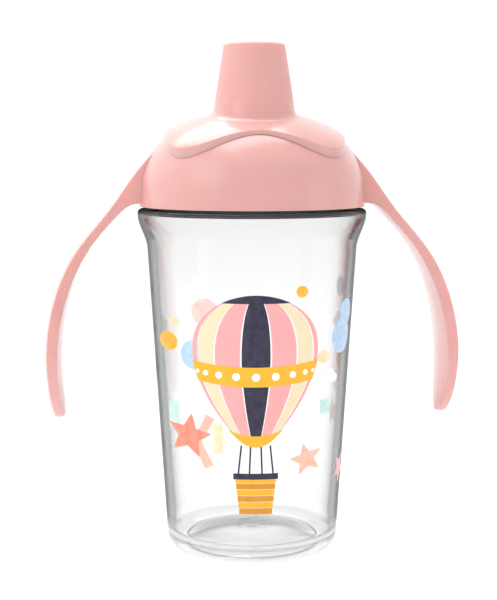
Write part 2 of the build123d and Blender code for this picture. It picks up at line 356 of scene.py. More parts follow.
@dataclass(frozen=True)
class MouldedPlastic:
    """Polished pink polypropylene with a satin spout above a given level."""

    name: str = "pink_moulded"
    colour: Colour = (0.83, 0.435, 0.405)
    coat: float = 0.55
    gloss: float = 0.24
    satin: float = 0.45
    satin_m: Pair = (0.1425, 0.1465)

    def build(self) -> bpy.types.Material:
        """Makes the material: mottled tint, uneven gloss and a faint mould texture."""
        graph = ShaderGraph(self.name)
        tint = graph.mottle(70.0, (0.0, 1.0))
        graph.feed(graph.blend(tint, shade(self.colour, 0.985), shade(self.colour, 1.012)), "Base Color")
        level = graph.spread(graph.parts(graph.place())["Z"], self.satin_m, (0.0, 1.0))
        rough = graph.spread(level, (0.0, 1.0), (self.gloss, self.satin))
        rough = graph.maths("ADD", rough, graph.mottle(160.0, (-0.02, 0.02)), clamp=False)
        graph.feed(rough, "Roughness")
        graph.feed(graph.spread(level, (0.0, 1.0), (self.coat, 0.0)), "Coat Weight")
        graph.bump(graph.noise(900.0, 1.0), 0.002, 0.3)
        graph.fix(IOR=1.42, Subsurface_Weight=0.35, Subsurface_Scale=0.004, Coat_Roughness=0.16)
        graph.fix(Subsurface_Radius=(1.0, 0.4, 0.35))
        return graph.material


@dataclass(frozen=True)
class ClearPlastic:
    """Water-clear copolyester with painted shade at its edges, under the lid and in the base, and painted
    light on the underside.
    """

    name: str = "clear_copolyester"
    index: float = 1.45
    lamp_share: float = 0.94
    # Painted shade: greys of the base colour against the share of reflected light, darker where the wall is
    # seen edge on and lighter in the base.
    wall_steps: Pairs = ((0.034, 0.935), (0.055, 0.91), (0.085, 0.85), (0.13, 0.68), (0.25, 0.3), (0.4, 0.2))
    base_steps: Pairs = ((0.1, 0.985), (0.2, 0.97), (0.3, 0.92), (0.5, 0.85))
    base_top_m: Pair = (0.005, 0.01)
    # Share of the painted edge shade that is kept in the base.
    base_edge_shade_share: float = 0.12
    # Painted shade: a dark see-through over the edge across this range of reflected light, with its share
    # and its colour.
    rim_range: Pair = (0.17, 0.32)
    rim_shade_share: float = 0.8
    rim_shade: Colour = (0.4, 0.41, 0.41)
    # Painted shadow on the ledge under the lid: its heights, its dark base colour, its share of dark
    # see-through and how much darker that is.
    ledge_m: Pair = (0.1088, 0.1095)
    ledge_top_m: Pair = (0.1112, 0.1118)
    ledge_painted_shadow: Colour = (0.06, 0.066, 0.064)
    ledge_shadow_share: float = 0.4
    ledge_deepening: float = 0.35
    # Painted light: below these heights a pale see-through clears the shade from the underside.
    heel_top_m: Pair = (0.0031, 0.0055)
    heel_light_share: float = 0.8
    heel_painted_light: Colour = (0.95, 0.955, 0.955)
    # Painted shade: a dark see-through on the far slope of the hollow under the base, inside this radius and
    # below the floor.
    hollow_r_m: float = 0.0215
    hollow_from_y_m: Pair = (-0.002, 0.0015)
    hollow_top_m: Pair = (0.0031, 0.0033)
    hollow_shade_share: float = 0.9

    def hollow(self, graph: ShaderGraph, place: Parts) -> Socket:
        """Picks out the far slope of the hollow under the base, where shade is painted.

        It is 1 on the half behind the axis, inside the foot ring and below the
        floor of the cup, and on a thin line that carries it round the front.
        The distance from the axis is the length of (x, y).
        """
        flat = graph.node("CombineXYZ")
        for axis in ("X", "Y"):
            graph.join(place[axis], flat.inputs[axis])
        length = graph.node("VectorMath", operation="LENGTH")
        graph.join(flat.outputs["Vector"], length.inputs[0])
        ring = length.outputs["Value"]
        edge = self.hollow_r_m
        far = graph.spread(place["Y"], self.hollow_from_y_m, (0.0, 1.0))
        line = graph.spread(ring, (edge * 0.955, edge * 0.98), (0.0, 1.0))
        within = graph.spread(ring, (edge, edge * 1.02), (1.0, 0.0))
        low = graph.spread(place["Z"], self.hollow_top_m, (1.0, 0.0))
        share = graph.maths("MULTIPLY", graph.maths("MAXIMUM", far, line), within)
        return graph.maths("MULTIPLY", share, low)

    def painted_shading(
        self, graph: ShaderGraph, mirror: Socket, place: Parts, high: Socket
    ) -> tuple[Socket, Socket]:
        """Works out the painted shading, a see-through shader that lies over the refraction.

        It paints shade where it takes over from the white reflection at the very
        edge, less so in the floor. It also paints a shadow on the ledge and shade
        on the far slope of the hollow under the base, and it paints light, a pale
        see-through, on the rest of the underside.

        Returns:
            Its share and its shader.
        """
        edge = graph.spread(mirror, self.rim_range, (0.0, self.rim_shade_share))
        calm = graph.spread(place["Z"], self.base_top_m, (self.base_edge_shade_share, 1.0))
        slope = self.hollow(graph, place)
        hollow = graph.spread(slope, (0.0, 1.0), (0.0, self.hollow_shade_share))
        ledge = graph.spread(high, (0.0, 1.0), (0.0, self.ledge_shadow_share))
        share = graph.maths("ADD", graph.maths("MULTIPLY", edge, calm), graph.maths("ADD", ledge, hollow))
        heel = graph.maths("SUBTRACT", graph.spread(place["Z"], self.heel_top_m, (1.0, 0.0)), slope)
        share = graph.maths("MAXIMUM", share, graph.spread(heel, (0.0, 1.0), (0.0, self.heel_light_share)))
        dark = graph.blend(high, self.rim_shade, shade(self.rim_shade, self.ledge_deepening))
        return share, graph.see_through(graph.blend(heel, dark, self.heel_painted_light))

    def build(self) -> bpy.types.Material:
        """Makes the material: refraction, painted edge shade, and light let through to the ink.

        The painted shade in the base colour follows the share of light that the
        surface reflects, which grows where it is seen edge on. It is lighter in
        the base, and the ledge under the lid has a painted shadow all over.
        """
        graph = ShaderGraph(self.name)
        fresnel = graph.node("Fresnel")
        fresnel.inputs["IOR"].default_value = self.index
        mirror = fresnel.outputs["Fac"]
        place = graph.parts(graph.place())
        low = graph.spread(place["Z"], self.base_top_m, (1.0, 0.0))
        over = graph.spread(place["Z"], self.ledge_m, (0.0, 1.0))
        high = graph.maths("MULTIPLY", over, graph.spread(place["Z"], self.ledge_top_m, (1.0, 0.0)))
        # Painted shade: the tint in the base colour darkens where the wall is seen edge on, less in the
        # base, and a painted shadow darkens the ledge under the lid.
        wall = graph.ramp(mirror, self.wall_steps)
        tint = graph.blend(low, wall, graph.ramp(mirror, self.base_steps))
        graph.feed(graph.blend(high, tint, self.ledge_painted_shadow), "Base Color")
        graph.feed(graph.mottle(300.0, (0.0, 0.02)), "Roughness")
        graph.bump(graph.noise(120.0, 1.0), 0.01, 0.15)
        graph.fix(Transmission_Weight=1.0, IOR=self.index)
        # Painted shade and painted light, laid over the refraction.
        share, painted_shading = self.painted_shading(graph, mirror, place, high)
        shaded = graph.mix_shaders(share, graph.shader.outputs["BSDF"], painted_shading)
        lamps = graph.node("LightPath").outputs["Is Shadow Ray"]
        clear = graph.see_through((self.lamp_share,) * 3)
        whole = graph.mix_shaders(lamps, shaded, clear)
        graph.join(whole, graph.tree.nodes["Material Output"].inputs["Surface"])
        return graph.material


@dataclass(frozen=True)
class Silicone:
    """Milky soft silicone with a dusty surface."""

    name: str = "milky_silicone"
    colour: Colour = (0.82, 0.82, 0.8)

    def build(self) -> bpy.types.Material:
        """Makes the material: cloudy body and a fine matt texture."""
        graph = ShaderGraph(self.name)
        cloud = graph.mottle(220.0, (0.0, 1.0))
        graph.feed(graph.blend(cloud, shade(self.colour, 0.96), shade(self.colour, 1.03)), "Base Color")
        graph.feed(graph.mottle(900.0, (0.38, 0.5)), "Roughness")
        graph.bump(graph.noise(3200.0, 2.0), 0.006, 0.5)
        graph.fix(IOR=1.41, Subsurface_Weight=0.6, Subsurface_Scale=0.004)
        graph.fix(Subsurface_Radius=(1.0, 0.95, 0.9))
        return graph.material


class Tone(Enum):
    """Ink colours of the printed decoration, linear."""

    ROSE = (0.93, 0.4, 0.4)
    BLUSH = (0.95, 0.62, 0.58)
    CREAM = (0.88, 0.74, 0.49)
    MIDNIGHT = (0.014, 0.009, 0.042)
    HONEY = (0.93, 0.47, 0.01)
    AMBER = (0.72, 0.29, 0.005)
    SKY = (0.47, 0.68, 0.93)
    CORAL = (0.93, 0.25, 0.16)
    PEACH = (0.95, 0.53, 0.4)
    MINT = (0.55, 0.82, 0.76)
    LEMON = (0.95, 0.8, 0.5)
    WHITE = (0.93, 0.93, 0.93)


class Wash(Enum):
    """How evenly an ink is laid down: (mottling, share of darker pools)."""

    FLAT = (0.03, 0.0)
    WATERCOLOUR = (0.1, 0.12)


@dataclass(frozen=True)
class Ink:
    """Screen ink in one tone, as seen from outside or from inside the cup."""

    tone: Tone
    wash: Wash
    inside: bool = False
    glow: float = 0.14
    glow_inside: float = 0.5

    def build(self) -> bpy.types.Material:
        """Makes the material: mottled translucent ink, paler from inside the cup.

        The small glow is painted light: it stands for the room's light that comes through the ink, and it is
        stronger on the backing.
        """
        side = "backing" if self.inside else "ink"
        graph = ShaderGraph(f"{side}_{self.tone.name.lower()}_{self.wash.name.lower()}")
        colour = self.tone.value
        if self.inside:
            colour = towards(colour, (0.9, 0.9, 0.9), 0.55)
        mottling, pools = self.wash.value
        cloud = graph.spread(graph.noise(420.0, 4.0, 0.6), (0.32, 0.68), (0.0, 1.0))
        pale = towards(shade(colour, 1.0 + mottling), (0.92, 0.92, 0.92), mottling)
        deep = shade(colour, 1.0 - mottling - pools * 0.3)
        graph.feed(graph.blend(cloud, pale, deep), "Base Color")
        graph.feed(graph.mottle(1500.0, (0.3, 0.42)), "Roughness")
        graph.bump(graph.noise(5000.0, 1.0), 0.003, 0.3)
        graph.fix(IOR=1.48)
        # Painted light: a glow on the ink, stronger on the backing seen through the cup.
        glow = self.glow_inside if self.inside else self.glow
        graph.fix(Emission_Color=colour, Emission_Strength=glow)
        return graph.material


# ---------------- the cup


@dataclass
class Beaker:
    """Clear beaker: domed base, tapered wall, flared shoulder, threaded neck."""

    ring_in_r: float = 22.2
    heel: float = 3.0
    base_r: float = 27.8
    wall_r: float = 34.0
    wall_z: float = 99.4
    wall: float = 1.6
    ledge: float = 1.1
    shoulder_r: float = 36.95
    shoulder_z: float = 110.4
    flare_low_z: float = 98.0
    flare_high_z: float = 108.2
    neck_r: float = 32.2
    bore_r: float = 31.0
    rim_z: float = 122.0
    rise: float = 3.0
    floor_z: float = 3.0
    lead: float = 8.0
    starts: int = 2
    crest_r: float = 33.5
    thread_z: float = 112.6
    thread_turns: float = 0.8
    root_width: float = 1.6
    crest_width: float = 0.8
    pit_r: float = 1.1
    pit_depth: float = 0.35
    mark_r: float = 4.9
    mark_half: float = 0.5
    mark_rise: float = 0.5
    dimple_r: float = 2.0
    dimple_depth: float = 0.25
    thicker_by: float = 0.25
    thicker_span: float = 25.0
    segments: int = 256

    def wall_radius(self, height: Points | float) -> Points | float:
        """Outer radius of the straight taper at a height, carried on past its ends."""
        slope = (self.wall_r - self.base_r) / (self.wall_z - self.heel)
        return self.base_r + (height - self.heel) * slope

    def flare(self, height: Points) -> Points:
        """How far the flare stands out of the taper at a height."""
        span = self.flare_high_z - self.flare_low_z
        reach = self.shoulder_r - self.wall_radius(self.flare_high_z)
        return reach * ease((height - self.flare_low_z) / span)

    def base_below(self) -> Points:
        """Underside from the centre, with its small pit, to the heel, as (radius, height)."""
        bowl_r = np.linspace(0, self.ring_in_r - 0.5, 22)
        bowl_z = self.rise * (1 - (bowl_r / self.ring_in_r) ** 2) + 0.06
        bowl_z -= self.pit_depth * np.exp(-((bowl_r / self.pit_r) ** 2))
        angle = np.linspace(0, math.pi / 2, 14)
        heel_r = self.base_r - self.heel + self.heel * np.sin(angle)
        heel_z = self.heel * (1 - np.cos(angle))
        ring = np.array([[self.ring_in_r, 0.02], [self.ring_in_r + 0.3, 0.0]])
        return np.concatenate([np.stack([bowl_r, bowl_z], axis=1), ring, np.stack([heel_r, heel_z], axis=1)])

    def outside(self) -> Points:
        """Wall, flare and shoulder ledge from the heel to the neck."""
        taper = np.linspace(self.heel + 1.5, self.flare_low_z - 1, 20)
        flare = np.linspace(self.flare_low_z, self.flare_high_z, 22)
        height = np.concatenate([taper, flare])
        wall = np.stack([self.wall_radius(height) + self.flare(height), height], axis=1)
        wide, neck, top = self.shoulder_r, self.neck_r, self.shoulder_z
        low = self.flare_high_z + 0.1
        edge = rounded_outline([(wide, low, 0), (wide, top, 1.3), (neck, top, 0.4), (neck, top + 1.0, 0)])
        return np.concatenate([wall, edge])

    def neck(self) -> Points:
        """Neck and rim, with rows close enough to carry the thread."""
        height = np.arange(self.shoulder_z + 1.2, self.rim_z - 1.0, 0.2)
        wall = np.stack([np.full_like(height, self.neck_r), height], axis=1)
        out, bore, top, low = self.neck_r, self.bore_r, self.rim_z, self.shoulder_z + 1.0
        rim = rounded_outline([(out, top - 0.9, 0), (out, top, 0.4), (bore, top, 0.4), (bore, low, 0)])
        return np.concatenate([wall, rim[:-1]])

    def inside(self) -> Points:
        """Hollow of the cup, from the bore of the neck to the dimple in the floor.

        The wall grows thicker towards the base, and the floor has a ring mark.
        """
        bore, wide = self.bore_r, self.shoulder_r - self.wall
        top, under = self.shoulder_z + 1.0, self.shoulder_z - self.ledge
        corners = [(bore, top, 0), (bore, under, 0.4), (wide, under, 0.6), (wide, under - 0.9, 0)]
        ledge = rounded_outline(corners)
        high = np.linspace(self.flare_high_z - 0.6, self.flare_low_z, 20)
        low = np.linspace(self.flare_low_z - 1.5, self.floor_z + 5.5, 20)
        height = np.concatenate([high, low])
        radius = self.wall_radius(height) + self.flare(height) - self.wall
        radius -= self.thicker_by * ease((self.floor_z + self.thicker_span - height) / self.thicker_span)
        wall = np.stack([radius, height], axis=1)
        floor_r = self.ring_in_r - 0.8
        angle = np.linspace(0.08, math.pi / 2, 12)
        reach = radius[-1] - floor_r
        heel_r = floor_r + reach * np.cos(angle)
        heel_z = self.floor_z + 4.6 * (1 - np.sin(angle))
        floor = np.linspace(floor_r - 1.2, 0, 30)
        floor_z = self.floor_z + self.rise * (1 - (floor / floor_r) ** 2)
        floor_z += self.mark_rise * np.exp(-(((floor - self.mark_r) / self.mark_half) ** 2))
        floor_z -= self.dimple_depth * np.exp(-((floor / self.dimple_r) ** 2))
        parts = [ledge, wall, np.stack([heel_r, heel_z], axis=1), np.stack([floor, floor_z], axis=1)]
        return np.concatenate(parts)

    def thread_height(self, height: Points, angle: Points) -> Points:
        """Height of the thread over the neck.

        A ridge climbs by the lead in each turn. The distance along Z to the
        nearest one sets the height: full within half the crest width, falling
        straight to nothing at half the root width, and fading at both ends.
        """
        pitch = self.lead / self.starts
        climb = self.thread_z + self.lead * angle / (2 * math.pi)
        near = np.round((height - climb) / pitch)
        middle = climb + near * pitch
        away = np.abs(height - middle)
        flank = (self.root_width - self.crest_width) / 2
        ridge = np.clip((self.root_width / 2 - away) / flank, 0, 1)
        top = self.thread_z + self.lead * self.thread_turns
        fade = ease((middle - self.thread_z + 0.3) / 0.6) * ease((top - middle + 0.3) / 0.6)
        return (self.crest_r - self.neck_r) * ridge * fade

    def build(self) -> bpy.types.Object:
        """Makes the beaker as one closed shell."""
        below = np.concatenate([self.base_below(), self.outside()])
        neck = self.neck()
        outline = np.concatenate([below, neck, self.inside()])
        grid = turned(outline, self.segments)
        angle = np.linspace(0, 2 * math.pi, self.segments, endpoint=False)[None, :]
        rows = slice(len(below), len(below) + int((neck[:, 0] >= self.neck_r).sum()))
        lift = self.thread_height(outline[rows, 1:], (angle - math.pi / 2) % (2 * math.pi))
        grid[rows, :, 0] += lift * np.sin(angle)
        grid[rows, :, 1] -= lift * np.cos(angle)
        quads = grid_quads(len(outline), self.segments, wrap=True)
        return new_piece("clear_beaker", grid.reshape(-1, 3), quads, 50.0)


@dataclass
class Handle:
    """One drooping handle, crowned on its back and on the side the fingers hold."""

    side: int
    back: Pairs = (
        (31.0, 129.4), (36.4, 123.4), (45.5, 110.8), (57.0, 96.3), (63.7, 81.0), (66.2, 64.0), (64.2, 42.8)
    )
    face: Pairs = (
        (33.0, 112.0), (38.9, 111.9), (44.4, 107.7), (54.1, 95.3), (60.1, 81.0), (62.9, 63.0), (62.0, 42.8)
    )
    widths: Pairs = (
        (131.0, 6.3), (110.0, 6.8), (100.0, 7.8), (90.0, 9.5), (76.0, 11.2), (64.0, 11.6), (56.0, 11.0)
    )
    tip_z: float = 42.8
    round_z: float = 61.0
    end_z: float = 52.0
    back_crown: float = 1.2
    face_crown: float = 1.8
    crown_half: float = 3.0
    crown_from: Pair = (0.04, 0.12)
    crowding: float = 1.35
    edge_round: float = 0.5
    rows: int = 170
    columns: int = 22

    def half_width(self, height: Points) -> Points:
        """Half the width across Y at a height.

        It runs straight between the listed widths. Below the round level it
        is multiplied by the square root of 1 - t^2, where t runs from 0 there
        to 1 at the tip.
        """
        table = np.array(self.widths)[::-1]
        half = np.interp(height, table[:, 0], table[:, 1])
        tip = np.clip((self.round_z - height) / (self.round_z - self.tip_z), 0, 1)
        return half * np.sqrt(np.clip(1 - tip**2, 0, 1))

    def build(self) -> bpy.types.Object:
        """Makes the handle from rows that crowd towards its tip.

        Each row goes over the back from -Y to +Y, then back over the finger
        face. Both faces bulge by their crown times 1 - u^2, where u runs from
        -1 to 1 across them. The last stretch closes to the middle line as a
        quarter of a circle does.
        """
        along = 1 - (1 - np.linspace(0, 1, self.rows)) ** self.crowding
        back = smooth_line(self.back, along)
        face = smooth_line(self.face, along)
        out = back - face
        out /= np.linalg.norm(out, axis=1)[:, None]
        level = (back[:, 1] + face[:, 1]) / 2
        ending = np.clip((self.end_z - level) / (self.end_z - self.tip_z), 0, 1)
        closing = (1 - np.sqrt(1 - ending**2)) / 2
        back, face = back + (face - back) * closing[:, None], face + (back - face) * closing[:, None]
        half = self.half_width(level)
        across = np.linspace(-1, 1, self.columns)
        begin, span = self.crown_from
        soften = np.clip(half / self.crown_half, 0, 1) * ease((along - begin) / span)
        bulge = (1 - across**2)[None, :] * soften[:, None]
        back_rows = back[:, None, :] + out[:, None, :] * (bulge * self.back_crown)[:, :, None]
        face_rows = face[:, None, :] - out[:, None, :] * (bulge * self.face_crown)[:, :, None]
        ring = np.concatenate([back_rows, face_rows[:, ::-1]], axis=1)
        wide = np.concatenate([across, across[::-1]])[None, :] * half[:, None]
        points = np.stack([self.side * ring[..., 0], wide, ring[..., 1]], axis=-1)
        quads = grid_quads(self.rows, 2 * self.columns, wrap=True)
        cap = np.arange(2 * self.columns)
        lid = np.stack([cap[: self.columns - 1], cap[1 : self.columns]], axis=1)
        under = 2 * self.columns - 1 - lid
        start = np.concatenate([lid, under[:, ::-1]], axis=1)
        end = start + (self.rows - 1) * 2 * self.columns
        quads = np.concatenate([quads, start, end])
        name = "left_handle" if self.side < 0 else "right_handle"
        piece = new_piece(name, points.reshape(-1, 3), quads, 30.0)
        bevel = piece.modifiers.new("edge_rounding", "BEVEL")
        bevel.width = self.edge_round * MM
        bevel.segments = 3
        bevel.limit_method = "ANGLE"
        bevel.angle_limit = math.radians(35)
        bevel.harden_normals = True
        return piece


# ---------------- the print


@dataclass
class InkSheet:
    """Collects printed shapes and lays them on the cup as one piece."""

    name: str
    beaker: Beaker
    points: list[Points] = field(default_factory=list)
    quads: list[np.ndarray] = field(default_factory=list)
    inks: list[Ink] = field(default_factory=list)
    slots: list[np.ndarray] = field(default_factory=list)
    reference_r: float = 31.0
    facing: float = 0.089
    flat_art: bool = False
    thickness: float = 0.04
    first_lift: float = 0.03
    layer_lift: float = 0.05

    def laid(self, flat: Points, lift: float) -> Points:
        """Wraps flat positions round the taper of the cup.

        Flat art is pressed straight onto the wall, so it keeps its shape as
        seen from the facing direction: the sine of the angle from there is
        the position across divided by the radius.

        Args:
            flat: (across, height); across runs from the front towards +X.
            lift: Height over the wall.

        Returns:
            Positions in space.
        """
        radius = self.beaker.wall_radius(flat[..., 1]) + lift
        if self.flat_art:
            angle = np.arcsin(np.clip(flat[..., 0] / radius, -0.99, 0.99)) - self.facing
        else:
            angle = flat[..., 0] / self.reference_r
        return np.stack([radius * np.sin(angle), -radius * np.cos(angle), flat[..., 1]], axis=-1)

    def ink_number(self, ink: Ink) -> int:
        """The slot of an ink, added when it is new."""
        if ink not in self.inks:
            self.inks.append(ink)
        return self.inks.index(ink)

    def add(self, flat: Points, wrap: bool, tone: Tone, wash: Wash, layer: int) -> None:
        """Adds a shape as a thin closed film.

        Args:
            flat: Grid of (across, height).
            wrap: True for a shape drawn as rings round its middle.
            tone: Its colour.
            wash: How evenly it is printed.
            layer: 0 lies on the cup, and each next layer lies over it.
        """
        low = self.first_lift + layer * self.layer_lift
        inner = self.laid(flat, low)
        outer = self.laid(flat, low + self.thickness)
        axis = 0 if wrap else 1
        film = np.concatenate([inner, np.flip(outer, axis)], axis=axis)
        if not wrap:
            first = (film[:1] + np.flip(film[:1], 1)) / 2
            last = (film[-1:] + np.flip(film[-1:], 1)) / 2
            film = np.concatenate([first, film, last])
        rows, columns = film.shape[:2]
        quads = grid_quads(rows, columns, wrap=True)
        number = np.arange(len(quads))
        step = number // columns if wrap else number % columns
        limit = (rows if wrap else columns) // 2
        inside = self.ink_number(Ink(tone, wash, inside=True))
        outside = self.ink_number(Ink(tone, wash))
        offset = sum(len(part) for part in self.points)
        self.points.append(film.reshape(-1, 3))
        self.quads.append(quads + offset)
        self.slots.append(np.where(step < limit - 1, inside, outside))

    def disc(
        self, middle: Pair, radius: float, tone: Tone, wash: Wash = Wash.WATERCOLOUR, layer: int = 0
    ) -> None:
        """Adds a round dot."""
        self.rays(middle, np.full(48, radius), tone, wash, layer)

    def rays(self, middle: Pair, reach: Points, tone: Tone, wash: Wash, layer: int) -> None:
        """Adds a shape from the length of evenly spaced rays round its middle."""
        angle = np.linspace(0, 2 * math.pi, len(reach), endpoint=False)
        share = np.linspace(0, 1, max(6, int(np.max(reach))))[:, None]
        x = middle[0] + share * reach * np.sin(angle)
        y = middle[1] + share * reach * np.cos(angle)
        self.add(np.stack([x, y], axis=-1), True, tone, wash, layer)

    def star(self, middle: Pair, radius: float, tilt_deg: float, tone: Tone, layer: int = 0) -> None:
        """Adds a five-pointed star with slightly soft points.

        A ray at angle a from the nearest point has the length that puts its
        end on the straight edge between the point and the notch beside it.
        """
        turn = np.linspace(0, 2 * math.pi, 120, endpoint=False) - math.radians(tilt_deg)
        sector = 2 * math.pi / 5
        away = np.abs((turn + sector / 2) % sector - sector / 2)
        notch = 0.46 * radius
        edge_x = notch * math.cos(sector / 2) - radius
        edge_y = notch * math.sin(sector / 2)
        reach = -radius * edge_y / (edge_x * np.sin(away) - edge_y * np.cos(away))
        self.rays(middle, np.minimum(reach, radius * 0.97), tone, Wash.WATERCOLOUR, layer)

    def strip(
        self, start: Pair, end: Pair, width: float, tone: Tone, wash: Wash = Wash.FLAT, layer: int = 0
    ) -> None:
        """Adds a straight bar from one point to another."""
        line = np.array([start, end], float)
        along = line[1] - line[0]
        length = float(np.linalg.norm(along))
        side = np.array([-along[1], along[0]]) / length * width / 2
        u = np.linspace(-1, 1, max(3, int(width) + 2))[None, :, None]
        v = np.linspace(0, 1, max(3, int(length) + 2))[:, None, None]
        self.add(line[0] + along * v + side * u, False, tone, wash, layer)

    def build(self) -> bpy.types.Object:
        """Makes the piece with one slot for each ink."""
        mesh = bpy.data.meshes.new(self.name)
        points = np.concatenate(self.points) * MM
        quads = np.concatenate(self.quads)
        mesh.from_pydata(points.tolist(), [], quads.tolist())
        mesh.polygons.foreach_set("material_index", np.concatenate(self.slots).astype(np.int32))
        for ink in self.inks:
            mesh.materials.append(ink.build())
        return closed_piece(mesh, 40.0, thin=False)


@dataclass
class BalloonPrint:
    """Hot-air balloon printed on the front of the cup."""

    beaker: Beaker
    across: float = 0.0
    crown_z: float = 85.5
    mouth_z: float = 38.0
    half: float = 20.5
    mouth_half: float = 4.6
    widest: float = 0.42
    gores: int = 7
    basket_top: float = 28.5
    basket_bottom: float = 16.5
    basket_half: float = 6.8
    sag: float = 1.6
    seam: float = 0.012
    band: Pair = (0.47, 0.6)
    band_middle: float = 0.535

    def outline(self, down: Points) -> Points:
        """Half width of the envelope, from its crown at 0 to its mouth at 1.

        A half ellipse down to the widest place, then a curve whose inset
        grows as the 1.7th power of the way to the mouth.
        """
        top = np.sqrt(np.clip(1 - (1 - down / self.widest) ** 2, 0, 1))
        way = np.clip((down - self.widest) / (1 - self.widest), 0, 1)
        low = self.half - (self.half - self.mouth_half) * way**1.7
        return np.where(down < self.widest, self.half * top, low)

    def gore(self, sheet: InkSheet, sides: Pair, tone: Tone, down: Pair, layer: int) -> None:
        """Adds the part of the envelope between two meridians.

        The sides are shares of the half width from -1 to 1, and down is the
        first and last place, from 0 at the crown to 1 at the mouth.
        """
        way = np.linspace(0, 1, 40) ** 1.4 * (down[1] - down[0]) + down[0]
        height = self.crown_z - way * (self.crown_z - self.mouth_z)
        share = np.linspace(*sides, max(7, int((sides[1] - sides[0]) * self.half)))
        x = self.across + self.outline(way)[:, None] * share[None, :]
        y = np.broadcast_to(height[:, None], x.shape)
        sag = self.sag * (share[None, :] ** 2) * ease(way * 3)[:, None]
        sheet.add(np.stack([x, y + sag], axis=-1), False, tone, Wash.FLAT, layer)

    def slat(self, sheet: InkSheet, half: float, level: float, width: float, tone: Tone, layer: int) -> None:
        """Adds a level bar under the middle of the balloon."""
        sheet.strip((self.across - half, level), (self.across + half, level), width, tone, layer=layer)

    def build(self) -> list[bpy.types.Object]:
        """Makes the envelope and the basket."""
        envelope = InkSheet("printed_balloon", self.beaker)
        meridian = np.sin(np.linspace(-math.pi / 2, math.pi / 2, self.gores + 1))
        tones = [Tone.ROSE, Tone.CREAM, Tone.ROSE, Tone.MIDNIGHT, Tone.ROSE, Tone.CREAM, Tone.ROSE]
        for left, right, tone in zip(meridian[:-1], meridian[1:], tones):
            self.gore(envelope, (left + self.seam, right - self.seam), tone, (0.012, 0.93), 1)
        self.gore(envelope, (-1.0, 1.0), Tone.MIDNIGHT, (0.0, 0.055), 2)
        self.gore(envelope, (-1.12, 1.12), Tone.HONEY, (0.925, 1.0), 2)
        self.gore(envelope, (-1.0, 1.0), Tone.HONEY, self.band, 2)
        way = self.band_middle
        for share in np.sin(np.linspace(-1.25, 1.25, 9)):
            x = self.across + float(self.outline(np.array(way))) * share
            y = self.crown_z - way * (self.crown_z - self.mouth_z) + self.sag * share**2
            envelope.disc((x, y), 1.25 * math.sqrt(1 - 0.8 * share**2), Tone.WHITE, Wash.FLAT, 3)
        basket = InkSheet("printed_basket", self.beaker)
        for share in (-1.0, -0.36, 0.36, 1.0):
            top = (self.across + share * self.mouth_half, self.mouth_z + 0.6)
            end = (self.across + share * self.basket_half * 0.86, self.basket_top - 0.4)
            basket.strip(top, end, 0.55, Tone.MIDNIGHT, layer=1)
        depth = self.basket_top - self.basket_bottom
        for row in range(6):
            y = self.basket_bottom + depth * (row + 0.5) / 6
            half = self.basket_half * (0.8 + 0.2 * (row + 0.5) / 6)
            tone = Tone.HONEY if row % 2 else Tone.AMBER
            self.slat(basket, half, y, depth / 6 - 0.12, tone, 1)
        self.slat(basket, self.basket_half * 1.08, self.basket_top + 0.2, 1.9, Tone.MIDNIGHT, 2)
        return [envelope.build(), basket.build()]


